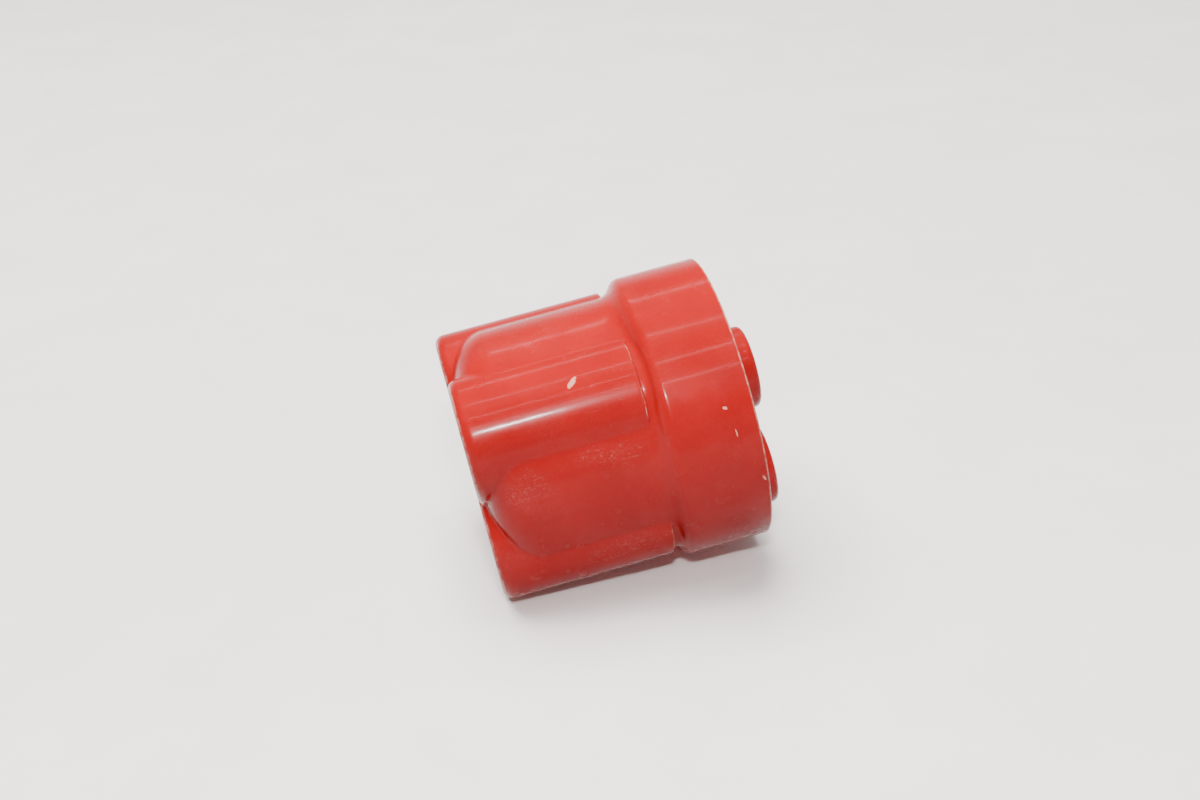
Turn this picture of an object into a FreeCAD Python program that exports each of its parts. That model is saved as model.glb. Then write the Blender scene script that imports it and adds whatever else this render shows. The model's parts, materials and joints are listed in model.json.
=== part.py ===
import FreeCAD, Part
import math
import os

from FreeCAD import Vector

# A panel-mounted two-pole battery switch for boats, in millimetres.
#
# The switch is drawn standing on its rim: heights run along its axis, from 0 at the rim, which sits on the
# panel, up to the flat ends of its four lobes. save() then lays it down: its front faces -Y and +Z is up.
# The knob sits in a round well in the front. A quarter turn clockwise drives a cross pin along two helical
# slots in the contact carrier, which slides back and presses two copper bridges onto four contacts.

# Collar, drum and lobes of the moulding
COLLAR_R = 50.0
COLLAR_LENGTH = 30.4
COLLAR_ROUNDING = 3.0
SHOULDER_FILLET = 2.2
LOBE_LOW = 33.7  # the lobes stop short of the collar, which leaves a groove between them
DRUM_R = 44.7
LENGTH = 94.2
DRUM_SHORTFALL = 2.5
DOME_R = 14.9
LOBE_R = 21.7
LOBE_ROUNDING = 3.5
PITCH_R = 26.9  # the lobes and the terminals stand on one circle
DIAGONALS = (45, 135, 225, 315)
SQUARES = (0, 90, 180, 270)
PITCH_SIDE = PITCH_R * math.cos(math.radians(45))

# Hollows of the moulding
WELL_R = 26.0
WELL_FLOOR = 70.2
FLOOR_THICKNESS = 4.5
CEILING = WELL_FLOOR - FLOOR_THICKNESS
CAVITY_R = 38.5
RECESS_R = 45.5
LEDGE = 14.0
GUIDE_RIB_WIDTH = 4.0
GUIDE_RIB_INNER_R = 29.0
GUIDE_RIB_LOW = 34.0

# Screws in the rim and the cover
INSERT_PITCH_R = 42.2
INSERT_R = 3.4
INSERT_HOLE_R = 2.5  # M5
INSERT_DEPTH = 12.0
PILLAR_R = 5.2
PAD_R = 7.5  # inside the ledge the pillars are wider, so that they carry the gasket's eyes
PAD_TOP = 26.0
COVER_SCREW_PITCH_R = 41.9
COVER_SCREW_ANGLES = (22.5, 112.5, 202.5, 292.5)
COVER_SCREW_R = 1.7
COVER_SCREW_END = 26.0
PAN_HEAD_R = 3.3
PAN_HEAD_HEIGHT = 2.6
PAN_HEAD_ROUNDING = 0.8

# Rear cover, with its four terminal bosses
COVER_GAP = 0.3
COVER_R = RECESS_R - COVER_GAP
COVER_LOW = 8.0
COVER_HIGH = 13.0
BOSS_R = 14.1
BOSS_STAND = 6.2  # how far the bosses stand past the rim
BOSS_ROUNDING = 1.8
SOCKET_R = 9.2
SOCKET_TOP = 22.0
SOCKET_FLOOR = 15.0
BARRIER_THICKNESS = 3.0
BARRIER_TOP = 28.0
BARRIER_ENDS = (13.0, 34.0)

# Terminals and contacts
TERMINAL_R = 8.0
TERMINAL_FLANGE_R = 11.0
TERMINAL_FLANGE_TOP = 16.0
TERMINAL_TOP = 24.0
THREAD_R = 5.0  # M10
THREAD_DEPTH = 20.0
SEAL_WIRE_R = 0.75
TERMINAL_SEAL_R = 9.4
FIXED_CONTACT_R = 7.0
FIXED_CONTACT_TOP = 26.0

# Contact carrier and its bridges, in the off position
TRAVEL = 4.0
CONTACT_GAP = TRAVEL + 0.05
TIP_LOW = FIXED_CONTACT_TOP + CONTACT_GAP
TIP_HEIGHT = 2.0
TIP_R = 5.2
BRIDGE_LOW = TIP_LOW + TIP_HEIGHT
BRIDGE_HIGH = BRIDGE_LOW + 4.0
BRIDGE_HALF_WIDTH = 6.0
PLATE_LOW = 42.0
PLATE_HIGH = 48.0
HUB_R = 11.5
HUB_LOW = 38.0
HUB_HIGH = 56.0
HUB_FLANGE_R = 12.2
HUB_FLANGE_HEIGHT = 3.0
HUB_BORE_R = 5.35
ARM_HALF_WIDTH = 5.5
ARM_REACH = 33.8
ARM_NOTCH_CLEARANCE = 0.35
SIDE_WALL_GAP = 0.4
SIDE_WALL_THICKNESS = 2.0
SIDE_WALL_HALF_LENGTH = 9.0
SIDE_WALL_LOW = 33.0
STUD_R = 2.5
STUD_HOLE_R = 2.7
STUD_HEAD_R = 4.0
STUD_HEAD_HEIGHT = 2.0
BRIDGE_SPRING_R = 4.4
BRIDGE_SPRING_WIRE_R = 0.6
RETURN_SPRING_R = 10.6
RETURN_SPRING_WIRE_R = 0.9
SPRING_PITCH = 3.8
SPRING_STEPS_A_TURN = 14
MITRED = 1  # how a swept wire turns its corners
SPRING_SEAT_GAP = 0.05

# Shaft and what is on it
SHAFT_R = 5.0
RUNNING_CLEARANCE = 0.05
SHAFT_LOW = SOCKET_FLOOR + 0.4
SHAFT_HIGH = 86.0
SHAFT_FLAT = 3.8  # half the width across the flats that drive the knob
COLLAR_ON_SHAFT_R = 8.0
COLLAR_ON_SHAFT_LOW = 62.0
COLLAR_ON_SHAFT_HIGH = 63.4
CROSS_PIN_R = 1.5
CROSS_PIN_HALF_LENGTH = 11.0
CROSS_PIN_HEIGHT = 46.0
CAM_SLOT_CLEARANCE = 0.35
CAM_SLOT_STEPS = 18
KNOB_TURN = 90.0
BUSH_R = 7.5
BUSH_TOP = WELL_FLOOR + 0.4
BUSH_FLANGE_R = 9.5
BUSH_FLANGE_THICKNESS = 1.5
REAR_BUSH_R = 7.0
WASHER_R = 9.0
WASHER_LOW = COLLAR_ON_SHAFT_HIGH + 0.1
SHAFT_SEAL_HEIGHT = 68.0
SHAFT_SEAL_GROOVE_R = 3.5
SHAFT_SEAL_GROOVE_WIDTH = 1.9
SHAFT_SEAL_WIRE_R = 0.74
RETAINING_RING_LOW = 71.0
RETAINING_RING_HIGH = 72.0
RETAINING_GROOVE_R = 4.6
RETAINING_RING_R = 7.6
RETAINING_RING_GAP = 5.0

# Detent
WHEEL_R = 12.5
WHEEL_LOW = 57.5
WHEEL_HIGH = COLLAR_ON_SHAFT_LOW
NOTCH_R = 3.4
NOSE_R = 3.0
NOSE_PITCH_R = 14.1
LEAF = 0.6
LEAF_LOW = 57.8
LEAF_HIGH = 61.7
LEAF_FREE_END = 13.0
LEAF_FOOT_ENDS = (-20.0, -12.0)
LEAF_FOOT_WIDTH = 8.5
DETENT_SCREW_R = 1.5
DETENT_SCREW_HEAD_R = 2.8
DETENT_SCREW_END = 69.2

# Knob
KNOB_R = 25.2
KNOB_LOW = WELL_FLOOR + 0.7
KNOB_PLATE_TOP = 76.0
KNOB_TOP = 93.2
KNOB_PLATE_ROUNDING = 1.5
GRIP_HALF_LENGTH = 23.5
GRIP_HALF_WIDTH = 6.0
GRIP_ROUNDING = 2.0
KNOB_ANGLE = 135  # the grip points at the off mark
KNOB_RECESS_R = 9.0
KNOB_RECESS_TOP = 72.8
KNOB_BORE_CLEARANCE = 0.05
KNOB_BORE_TOP = SHAFT_HIGH + 0.2
SCREW_SEAT = 88.0
SCREW_HEAD_R = 3.8
SCREW_HEAD_TOP = 91.2
SCREW_R = 2.0
SCREW_END = 75.0
SCREW_HOLE_R = 2.2
SOCKET_KEY_R = 1.6
CAP_R = 4.2
CAP_LOW = 91.8
POINTER_ENDS = (9.0, 20.0)
POINTER_HALF_WIDTH = 1.2
INLAY_DEPTH = 0.6

# Marks on the ends of the two upper lobes
MARK_PITCH_R = 37.5
OFF_MARK_R = 4.0
ON_MARK_HALF_LENGTH = 4.2
MARK_STROKE = 1.4

os.makedirs("parts", exist_ok=True)


def at(radius, degrees, height=0.0):
    turn = math.radians(degrees)
    return Vector(radius * math.cos(turn), radius * math.sin(turn), height)


def rod(radius, low, high, centre=Vector()):
    return Part.makeCylinder(radius, high - low, Vector(centre.x, centre.y, low))


def tube(outer, inner, low, high, centre=Vector()):
    return rod(outer, low, high, centre).cut(rod(inner, low, high, centre))


def block(x_range, y_range, z_range):
    sizes = [high - low for low, high in (x_range, y_range, z_range)]
    return Part.makeBox(*sizes, Vector(x_range[0], y_range[0], z_range[0]))


def turned(shape, degrees):
    copy = shape.copy()
    copy.rotate(Vector(), Vector(0, 0, 1), degrees)
    return copy


def around(shape, angles):
    return [turned(shape, angle) for angle in angles]


LOBE_PLACES = [at(PITCH_R, angle) for angle in DIAGONALS]
INSERT_PLACES = [at(INSERT_PITCH_R, angle) for angle in SQUARES]
COVER_SCREW_PLACES = [at(COVER_SCREW_PITCH_R, angle) for angle in COVER_SCREW_ANGLES]
POLES = {"upper": PITCH_SIDE, "lower": -PITCH_SIDE}


def joined(shapes):
    return shapes[0].fuse(shapes[1:]).removeSplitter()


def ring(radius, wire_radius, height, centre=Vector()):
    return Part.makeTorus(radius, wire_radius, Vector(centre.x, centre.y, height))


def rounded_rod(radius, low, high, rounding, rounded_end, centre=Vector()):
    """A rod whose one end, the one at the height rounded_end, has a rounded edge."""
    body = rod(radius, low, high, centre)
    flat_edges = [edge for edge in body.Edges if edge.BoundBox.ZLength < 0.001]
    chosen = [edge for edge in flat_edges if abs(edge.CenterOfMass.z - rounded_end) < 0.001]
    return body.makeFillet(rounding, chosen)


def coil(radius, wire_radius, low, high, centre=Vector()):
    """A compression spring from low to high, its wire included, bent in short straight lengths."""
    rise = high - low - 2 * wire_radius
    turns = rise / SPRING_PITCH
    steps = round(turns * SPRING_STEPS_A_TURN)
    points = [at(radius, 360 * turns * step / steps, rise * step / steps) for step in range(steps + 1)]
    section = Part.Wire(Part.makeCircle(wire_radius, points[0], points[1] - points[0]))
    spring = Part.makePolygon(points).makePipeShell([section], True, False, MITRED)
    spring.translate(Vector(centre.x, centre.y, low + wire_radius))
    return spring


def save(name, *solids):
    shape = solids[0] if len(solids) == 1 else Part.makeCompound(list(solids))
    shape.rotate(Vector(), Vector(1, 0, 0), 90)
    if not shape.isValid():
        print("not valid:", name)
    print(f"{name}: {len(shape.Solids)} solid(s), {shape.Volume:.0f} mm3")
    shape.exportStep(f"parts/{name}.step")


def shoulder_fillet():
    """The hollow round between the drum and the collar's front face, turned about the axis."""
    root = DRUM_R - 1
    low = COLLAR_LENGTH - 1
    outer = Vector(DRUM_R + SHOULDER_FILLET, 0, COLLAR_LENGTH)
    upper = Vector(DRUM_R, 0, COLLAR_LENGTH + SHOULDER_FILLET)
    bulge = SHOULDER_FILLET * (1 - math.cos(math.radians(45)))
    middle = Vector(DRUM_R + bulge, 0, COLLAR_LENGTH + bulge)
    corners = [upper, Vector(root, 0, upper.z), Vector(root, 0, low), Vector(outer.x, 0, low), outer]
    edges = Part.makePolygon(corners).Edges + [Part.Arc(outer, middle, upper).toShape()]
    return Part.Face(Part.Wire(edges)).revolve(Vector(), Vector(0, 0, 1), 360)


def outer_body():
    collar = rounded_rod(COLLAR_R, 0, COLLAR_LENGTH, COLLAR_ROUNDING, COLLAR_LENGTH)
    drum_top = LENGTH - DRUM_SHORTFALL
    drum = rounded_rod(DRUM_R, 0, drum_top, DOME_R, drum_top)
    lobes = [rounded_rod(LOBE_R, LOBE_LOW, LENGTH, LOBE_ROUNDING, LENGTH, place) for place in LOBE_PLACES]
    return joined([collar, shoulder_fillet(), drum, *lobes])


def off_mark():
    return tube(OFF_MARK_R, OFF_MARK_R - MARK_STROKE, LENGTH - INLAY_DEPTH, LENGTH, at(MARK_PITCH_R, 135))


def on_mark():
    half = MARK_STROKE / 2
    reach = (MARK_PITCH_R - ON_MARK_HALF_LENGTH, MARK_PITCH_R + ON_MARK_HALF_LENGTH)
    return turned(block(reach, (-half, half), (LENGTH - INLAY_DEPTH, LENGTH)), 45)


def guide_rib():
    half = GUIDE_RIB_WIDTH / 2
    return block((GUIDE_RIB_INNER_R, CAVITY_R + 1), (-half, half), (GUIDE_RIB_LOW, CEILING + 1))


def detent_screw_place():
    foot_middle = sum(LEAF_FOOT_ENDS) / 2
    return Vector(foot_middle, NOSE_PITCH_R + LEAF + LEAF_FOOT_WIDTH / 2, 0)


def detent_screw():
    place = detent_screw_place()
    seat = CEILING - LEAF
    head = rod(DETENT_SCREW_HEAD_R, seat - 2, seat, place)
    return joined([head, rod(DETENT_SCREW_R, seat, DETENT_SCREW_END, place)])


def housing():
    hollows = [
        rod(WELL_R, WELL_FLOOR, LENGTH + 1),
        rod(CAVITY_R, LEDGE, CEILING),
        rod(RECESS_R, -1, LEDGE),
    ]
    body = outer_body().cut(hollows)
    pillars = [rod(PILLAR_R, 0, LEDGE, place) for place in INSERT_PLACES]
    pads = [rod(PAD_R, LEDGE, PAD_TOP, place) for place in INSERT_PLACES]
    body = joined([body, *pillars, *pads, *around(guide_rib(), (0, 180))])
    holes = [rod(INSERT_R, 0, INSERT_DEPTH, place) for place in INSERT_PLACES]
    holes += [rod(COVER_SCREW_R, LEDGE, COVER_SCREW_END, place) for place in COVER_SCREW_PLACES]
    holes += around(rod(DETENT_SCREW_R, CEILING, DETENT_SCREW_END, detent_screw_place()), (0, 180))
    holes += [rod(BUSH_R, CEILING - 1, WELL_FLOOR + 1), off_mark(), on_mark()]
    return body.cut(holes)


def pillar_notches(low, high):
    return [rod(PILLAR_R + COVER_GAP, low, high, place) for place in INSERT_PLACES]


def cover_screw(place):
    top = COVER_LOW - PAN_HEAD_HEIGHT
    head = rounded_rod(PAN_HEAD_R, top, COVER_LOW, PAN_HEAD_ROUNDING, top, place)
    return joined([head, rod(COVER_SCREW_R, COVER_LOW, COVER_SCREW_END, place)])


def terminal_seal(place):
    return ring(TERMINAL_SEAL_R, SEAL_WIRE_R, COVER_HIGH - SEAL_WIRE_R, place)


def rear_cover():
    end = -BOSS_STAND
    bosses = [rounded_rod(BOSS_R, end, COVER_HIGH, BOSS_ROUNDING, end, place) for place in LOBE_PLACES]
    socket = rod(SOCKET_R, COVER_LOW, SOCKET_TOP)
    half = BARRIER_THICKNESS / 2
    barrier = block(BARRIER_ENDS, (-half, half), (COVER_LOW, BARRIER_TOP))
    body = joined([rod(COVER_R, COVER_LOW, COVER_HIGH), socket, *bosses, *around(barrier, (0, 180))])
    holes = pillar_notches(COVER_LOW, COVER_HIGH)
    holes += [rod(REAR_BUSH_R, SOCKET_FLOOR, SOCKET_TOP)]
    for place in LOBE_PLACES:
        holes += [rod(TERMINAL_R, end, COVER_HIGH, place)]
        groove_outer = TERMINAL_SEAL_R + SEAL_WIRE_R
        groove_inner = TERMINAL_SEAL_R - SEAL_WIRE_R
        holes += [tube(groove_outer, groove_inner, COVER_HIGH - 2 * SEAL_WIRE_R, COVER_HIGH, place)]
    holes += [rod(COVER_SCREW_R, COVER_LOW, COVER_HIGH, place) for place in COVER_SCREW_PLACES]
    return body.cut(holes)


def cover_gasket():
    eyes = [rod(PAD_R, COVER_HIGH, LEDGE, place) for place in INSERT_PLACES]
    body = joined([tube(COVER_R, CAVITY_R, COVER_HIGH, LEDGE), *eyes]).common(rod(COVER_R, COVER_HIGH, LEDGE))
    holes = pillar_notches(COVER_HIGH, LEDGE)
    holes += [rod(COVER_SCREW_R, COVER_HIGH, LEDGE, place) for place in COVER_SCREW_PLACES]
    return body.cut(holes)


def terminal(place):
    body = joined([
        rod(TERMINAL_R, -BOSS_STAND, TERMINAL_TOP, place),
        rod(TERMINAL_FLANGE_R, COVER_HIGH, TERMINAL_FLANGE_TOP, place),
    ])
    return body.cut(rod(THREAD_R, -BOSS_STAND, THREAD_DEPTH - BOSS_STAND, place))


def fixed_contact(place):
    return rod(FIXED_CONTACT_R, TERMINAL_TOP, FIXED_CONTACT_TOP, place)


def cam_slots():
    """Both helical slots: seen from the front, the cross pin turns clockwise as the carrier slides back."""
    radius = CROSS_PIN_R + CAM_SLOT_CLEARANCE
    reach = HUB_R + 0.5
    cuts = []
    for step in range(CAM_SLOT_STEPS + 1):
        share = step / CAM_SLOT_STEPS
        height = CROSS_PIN_HEIGHT + TRAVEL * share
        cutter = Part.makeCylinder(radius, 2 * reach, Vector(-reach, 0, height), Vector(1, 0, 0))
        cuts.append(turned(cutter, -KNOB_TURN * share))
    return cuts


def contact_carrier():
    hub = [rod(HUB_R, HUB_LOW, HUB_HIGH), rod(HUB_FLANGE_R, HUB_LOW, HUB_LOW + HUB_FLANGE_HEIGHT)]
    wall_inner = PITCH_SIDE + BRIDGE_HALF_WIDTH + SIDE_WALL_GAP
    wall_outer = wall_inner + SIDE_WALL_THICKNESS
    half_length = SIDE_WALL_HALF_LENGTH
    plate = block((-half_length, half_length), (-wall_outer, wall_outer), (PLATE_LOW, PLATE_HIGH))
    wall = block((-half_length, half_length), (wall_inner, wall_outer), (SIDE_WALL_LOW, PLATE_HIGH))
    arms = block((-ARM_REACH, ARM_REACH), (-ARM_HALF_WIDTH, ARM_HALF_WIDTH), (PLATE_LOW, PLATE_HIGH))
    body = joined([*hub, plate, arms, *around(wall, (0, 180))])
    notch_half = GUIDE_RIB_WIDTH / 2 + ARM_NOTCH_CLEARANCE
    notch_inner = GUIDE_RIB_INNER_R - ARM_NOTCH_CLEARANCE
    notch = block((notch_inner, ARM_REACH), (-notch_half, notch_half), (PLATE_LOW, PLATE_HIGH))
    holes = around(notch, (0, 180)) + cam_slots() + [rod(HUB_BORE_R, HUB_LOW, HUB_HIGH)]
    holes += [rod(STUD_HOLE_R, PLATE_LOW, PLATE_HIGH, Vector(0, side, 0)) for side in POLES.values()]
    return body.cut(holes)


def bridge(side):
    ends = [Vector(-PITCH_SIDE, side, 0), Vector(PITCH_SIDE, side, 0)]
    width = (side - BRIDGE_HALF_WIDTH, side + BRIDGE_HALF_WIDTH)
    bar = block((-PITCH_SIDE, PITCH_SIDE), width, (BRIDGE_LOW, BRIDGE_HIGH))
    body = joined([bar, *[rod(BRIDGE_HALF_WIDTH, BRIDGE_LOW, BRIDGE_HIGH, end) for end in ends]])
    return body.cut(rod(STUD_HOLE_R, BRIDGE_LOW, BRIDGE_HIGH, Vector(0, side, 0)))


def bridge_tips(side):
    return [rod(TIP_R, TIP_LOW, BRIDGE_LOW, Vector(x, side, 0)) for x in (-PITCH_SIDE, PITCH_SIDE)]


def bridge_stud(side):
    place = Vector(0, side, 0)
    foot = rod(STUD_HEAD_R, BRIDGE_LOW - STUD_HEAD_HEIGHT, BRIDGE_LOW, place)
    head = rod(STUD_HEAD_R, PLATE_HIGH, PLATE_HIGH + STUD_HEAD_HEIGHT, place)
    return joined([foot, rod(STUD_R, BRIDGE_LOW, PLATE_HIGH, place), head])


def bridge_spring(side):
    low = BRIDGE_HIGH + SPRING_SEAT_GAP
    high = PLATE_LOW - SPRING_SEAT_GAP
    return coil(BRIDGE_SPRING_R, BRIDGE_SPRING_WIRE_R, low, high, Vector(0, side, 0))


def return_spring():
    low = COVER_HIGH + SPRING_SEAT_GAP
    high = HUB_LOW - SPRING_SEAT_GAP
    return coil(RETURN_SPRING_R, RETURN_SPRING_WIRE_R, low, high)


def drive_end(radius, flat, low, high):
    """The shaft's end, round with two flats across it, which turns the knob."""
    return rod(radius, low, high).common(block((-radius, radius), (-flat, flat), (low, high)))


def shaft():
    body = joined([
        rod(SHAFT_R, SHAFT_LOW, RETAINING_RING_HIGH + 0.6),
        rod(COLLAR_ON_SHAFT_R, COLLAR_ON_SHAFT_LOW, COLLAR_ON_SHAFT_HIGH),
        drive_end(SHAFT_R, SHAFT_FLAT, RETAINING_RING_HIGH, SHAFT_HIGH),
    ])
    seal_low = SHAFT_SEAL_HEIGHT - SHAFT_SEAL_GROOVE_WIDTH / 2
    return body.cut([
        tube(SHAFT_R + 1, SHAFT_SEAL_GROOVE_R, seal_low, seal_low + SHAFT_SEAL_GROOVE_WIDTH),
        tube(SHAFT_R + 1, RETAINING_GROOVE_R, RETAINING_RING_LOW, RETAINING_RING_HIGH),
        cross_pin(),
        rod(SCREW_R, SCREW_END, SHAFT_HIGH),
    ])


def cross_pin():
    start = Vector(-CROSS_PIN_HALF_LENGTH, 0, CROSS_PIN_HEIGHT)
    return Part.makeCylinder(CROSS_PIN_R, 2 * CROSS_PIN_HALF_LENGTH, start, Vector(1, 0, 0))


def shaft_bush():
    flange_low = CEILING - BUSH_FLANGE_THICKNESS
    body = joined([rod(BUSH_FLANGE_R, flange_low, CEILING), rod(BUSH_R, CEILING, BUSH_TOP)])
    return body.cut(rod(SHAFT_R + RUNNING_CLEARANCE, flange_low, BUSH_TOP))


def rear_bush():
    return tube(REAR_BUSH_R, SHAFT_R + RUNNING_CLEARANCE, SOCKET_FLOOR, SOCKET_TOP)


def thrust_washer():
    return tube(WASHER_R, SHAFT_R + 2 * RUNNING_CLEARANCE, WASHER_LOW, CEILING - BUSH_FLANGE_THICKNESS)


def shaft_seal():
    return ring(SHAFT_SEAL_GROOVE_R + SHAFT_SEAL_WIRE_R, SHAFT_SEAL_WIRE_R, SHAFT_SEAL_HEIGHT)


def retaining_ring():
    half = RETAINING_RING_GAP / 2
    body = tube(RETAINING_RING_R, RETAINING_GROOVE_R, RETAINING_RING_LOW, RETAINING_RING_HIGH)
    return body.cut(block((0, RETAINING_RING_R), (-half, half), (RETAINING_RING_LOW, RETAINING_RING_HIGH)))


def detent_wheel():
    body = tube(WHEEL_R, SHAFT_R, WHEEL_LOW, WHEEL_HIGH)
    return body.cut([rod(NOTCH_R, WHEEL_LOW, WHEEL_HIGH, at(NOSE_PITCH_R, angle)) for angle in SQUARES])


def detent_spring():
    """A leaf spring with a round nose in the wheel's notch and a foot screwed up against the well's floor."""
    near = NOSE_PITCH_R
    far = NOSE_PITCH_R + LEAF
    leaf_y = (near, far)
    free_side = block((NOSE_R - LEAF, LEAF_FREE_END), leaf_y, (LEAF_LOW, LEAF_HIGH))
    fixed_side = block((LEAF_FOOT_ENDS[0], LEAF - NOSE_R), leaf_y, (LEAF_LOW, LEAF_HIGH))
    riser = block(LEAF_FOOT_ENDS, leaf_y, (LEAF_LOW, CEILING))
    foot = block(LEAF_FOOT_ENDS, (near, far + LEAF_FOOT_WIDTH), (CEILING - LEAF, CEILING))
    nose = tube(NOSE_R, NOSE_R - LEAF, LEAF_LOW, LEAF_HIGH, Vector(0, near, 0))
    nose = nose.cut(block((-NOSE_R, NOSE_R), (near, near + NOSE_R), (LEAF_LOW, LEAF_HIGH)))
    body = joined([nose, free_side, fixed_side, riser, foot])
    return body.cut(rod(DETENT_SCREW_R, CEILING - LEAF, CEILING, detent_screw_place()))


def pointer_inlay():
    width = (-POINTER_HALF_WIDTH, POINTER_HALF_WIDTH)
    return turned(block(POINTER_ENDS, width, (KNOB_TOP - INLAY_DEPTH, KNOB_TOP)), KNOB_ANGLE)


def knob():
    plate = rounded_rod(KNOB_R, KNOB_LOW, KNOB_PLATE_TOP, KNOB_PLATE_ROUNDING, KNOB_PLATE_TOP)
    length = (-GRIP_HALF_LENGTH, GRIP_HALF_LENGTH)
    grip = block(length, (-GRIP_HALF_WIDTH, GRIP_HALF_WIDTH), (KNOB_LOW + 1, KNOB_TOP))
    grip = grip.makeFillet(GRIP_ROUNDING, [edge for edge in grip.Edges if edge.CenterOfMass.z > KNOB_LOW + 2])
    body = joined([plate, turned(grip, KNOB_ANGLE)])
    bore = drive_end(SHAFT_R + KNOB_BORE_CLEARANCE, SHAFT_FLAT + KNOB_BORE_CLEARANCE, KNOB_LOW, KNOB_BORE_TOP)
    return body.cut([
        rod(KNOB_RECESS_R, KNOB_LOW, KNOB_RECESS_TOP),
        bore,
        rod(SCREW_HOLE_R, KNOB_BORE_TOP, SCREW_SEAT),
        rod(CAP_R, SCREW_SEAT, KNOB_TOP),
        pointer_inlay(),
    ])


def knob_screw():
    body = joined([rod(SCREW_HEAD_R, SCREW_SEAT, SCREW_HEAD_TOP), rod(SCREW_R, SCREW_END, SCREW_SEAT)])
    corners = [at(SOCKET_KEY_R, 60 * corner, SCREW_HEAD_TOP - 2) for corner in range(7)]
    key = Part.Face(Part.makePolygon(corners)).extrude(Vector(0, 0, 2))
    return body.cut(key)


save("housing", housing())
save("rear_cover", rear_cover())
save("cover_gasket", cover_gasket())
save("cover_screws", *[cover_screw(place) for place in COVER_SCREW_PLACES])
save("panel_inserts", *[tube(INSERT_R, INSERT_HOLE_R, 0, INSERT_DEPTH, place) for place in INSERT_PLACES])
for number, place in enumerate(LOBE_PLACES, 1):
    save(f"terminal_{number}", terminal(place))
    save(f"fixed_contact_{number}", fixed_contact(place))
save("terminal_seals", *[terminal_seal(place) for place in LOBE_PLACES])
save("shaft_bush", shaft_bush())
save("rear_bush", rear_bush())
save("return_spring", return_spring())
save("detent_spring_upper", detent_spring())
save("detent_spring_lower", turned(detent_spring(), 180))
save("detent_screws", *around(detent_screw(), (0, 180)))
save("off_mark", off_mark())
save("on_mark", on_mark())
save("contact_carrier", contact_carrier())
for pole, side in POLES.items():
    save(f"bridge_{pole}", bridge(side))
    save(f"bridge_tips_{pole}", *bridge_tips(side))
    save(f"bridge_stud_{pole}", bridge_stud(side))
    save(f"bridge_spring_{pole}", bridge_spring(side))
save("shaft", shaft())
save("cross_pin", cross_pin())
save("detent_wheel", detent_wheel())
save("thrust_washer", thrust_washer())
save("shaft_seal", shaft_seal())
save("retaining_ring", retaining_ring())
save("knob", knob())
save("knob_screw", knob_screw())
save("knob_cap", rod(CAP_R, CAP_LOW, KNOB_TOP))
save("pointer_inlay", pointer_inlay())
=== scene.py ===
import json
import math

import bmesh
import bpy
import numpy as np
from mathutils import Matrix, Vector


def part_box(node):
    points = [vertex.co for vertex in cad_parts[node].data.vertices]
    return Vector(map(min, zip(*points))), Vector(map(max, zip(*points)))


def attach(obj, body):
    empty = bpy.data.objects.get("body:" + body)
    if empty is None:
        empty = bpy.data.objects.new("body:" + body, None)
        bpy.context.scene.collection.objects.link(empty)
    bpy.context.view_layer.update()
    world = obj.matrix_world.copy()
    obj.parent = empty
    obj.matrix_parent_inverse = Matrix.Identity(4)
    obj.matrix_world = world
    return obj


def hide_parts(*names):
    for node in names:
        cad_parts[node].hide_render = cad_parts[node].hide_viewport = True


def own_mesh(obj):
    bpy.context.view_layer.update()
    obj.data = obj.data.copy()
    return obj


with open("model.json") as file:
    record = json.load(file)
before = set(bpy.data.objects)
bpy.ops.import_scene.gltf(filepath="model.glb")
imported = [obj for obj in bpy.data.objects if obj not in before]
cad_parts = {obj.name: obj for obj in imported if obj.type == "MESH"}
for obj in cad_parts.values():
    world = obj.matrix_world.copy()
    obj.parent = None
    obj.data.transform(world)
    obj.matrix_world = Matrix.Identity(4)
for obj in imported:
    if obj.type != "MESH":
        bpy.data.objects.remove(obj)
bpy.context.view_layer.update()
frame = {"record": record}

# The looks of a panel-mounted battery switch. The CAD frame holds every piece; this script puts finely made
# shells in place of those that can be seen, and gives every piece its material.
# Lengths here are millimetres in an upright frame: heights run along the switch's axis, from its rim up to
# the ends of its lobes. lay() turns upright points into the CAD frame, in metres, where the front faces -Y.

MM = 0.001
TAU = 2 * math.pi
QUARTER_TURN = [step * math.pi / 8 for step in range(5)]
DIAGONALS = (45, 135, 225, 315)
SQUARES = (0, 90, 180, 270)


def span(node, axis):
    """The lowest and highest place of a CAD node along a row axis, in millimetres."""
    low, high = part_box(node)
    return low[axis] / MM, high[axis] / MM


def heights(node):
    """The lowest and highest height of a CAD node in the upright frame."""
    low, high = span(node, 1)
    return -high, -low


def half_width(node):
    low, high = span(node, 0)
    return (high - low) / 2


# -------------------------------------------------- sizes that the CAD frame gives
COLLAR_R = half_width("housing")
LENGTH = heights("housing")[1]
COVER_R = half_width("cover_gasket")
COVER_HIGH, LEDGE = heights("cover_gasket")
SOCKET_TOP = heights("rear_bush")[1]
BOSS_STAND = -heights("rear_cover")[0]
BARRIER_TOP = heights("rear_cover")[1]
SCREW_HEAD_LOW, SCREW_END = heights("cover_screws")
TERMINAL_TOP = heights("terminal_1")[1]
FLANGE_R = half_width("terminal_1")
PITCH_R = sum(span("terminal_1", 0)) / math.sqrt(2)
INSERT_DEPTH = heights("panel_inserts")[1]
CEILING = heights("detent_spring_upper")[1]
KNOB_R = half_width("knob")
KNOB_LOW, KNOB_TOP = heights("knob")
CAP_R = half_width("knob_cap")
CAP_LOW = heights("knob_cap")[0]
INLAY_LOW = heights("pointer_inlay")[0]
MARK_LOW = heights("off_mark")[0]
MARK_R = half_width("off_mark")
MARK_PITCH_R = -sum(span("off_mark", 0)) / math.sqrt(2)

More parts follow.
